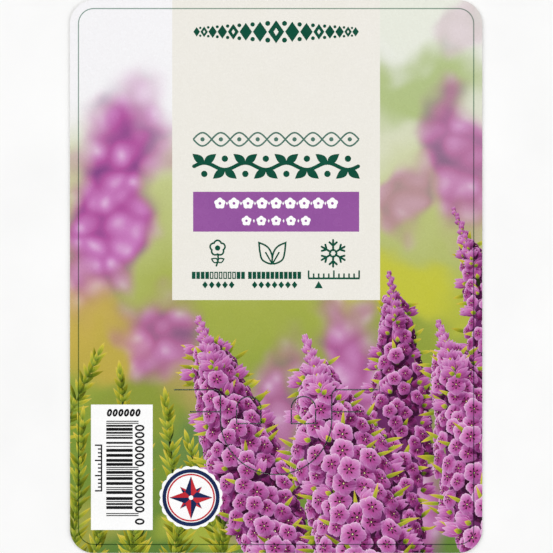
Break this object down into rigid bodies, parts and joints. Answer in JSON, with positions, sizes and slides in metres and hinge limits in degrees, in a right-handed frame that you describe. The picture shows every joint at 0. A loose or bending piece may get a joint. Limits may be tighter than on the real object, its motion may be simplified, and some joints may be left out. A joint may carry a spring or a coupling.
{
  "type": "plant label",
  "caption": "Flat plastic plant label with rounded corners, printed on one face, whose die-cut tongue with arched windows hooks over the rim of a pot.",
  "frame": {"origin": "middle of the label's back face, which lies on the surface", "axes": "+Z out of the printed face, +Y to the top of the print, +X to the right of the print"},
  "size_m": [0.1084, 0.1456, 0.0004],
  "materials": {
    "printed_polypropylene": "white polypropylene sheet, printed and satin varnished on the front, plain white on the back"
  },
  "bodies": {
    "root": {"label_sheet": "printed_polypropylene"}
  },
  "joints": []
}
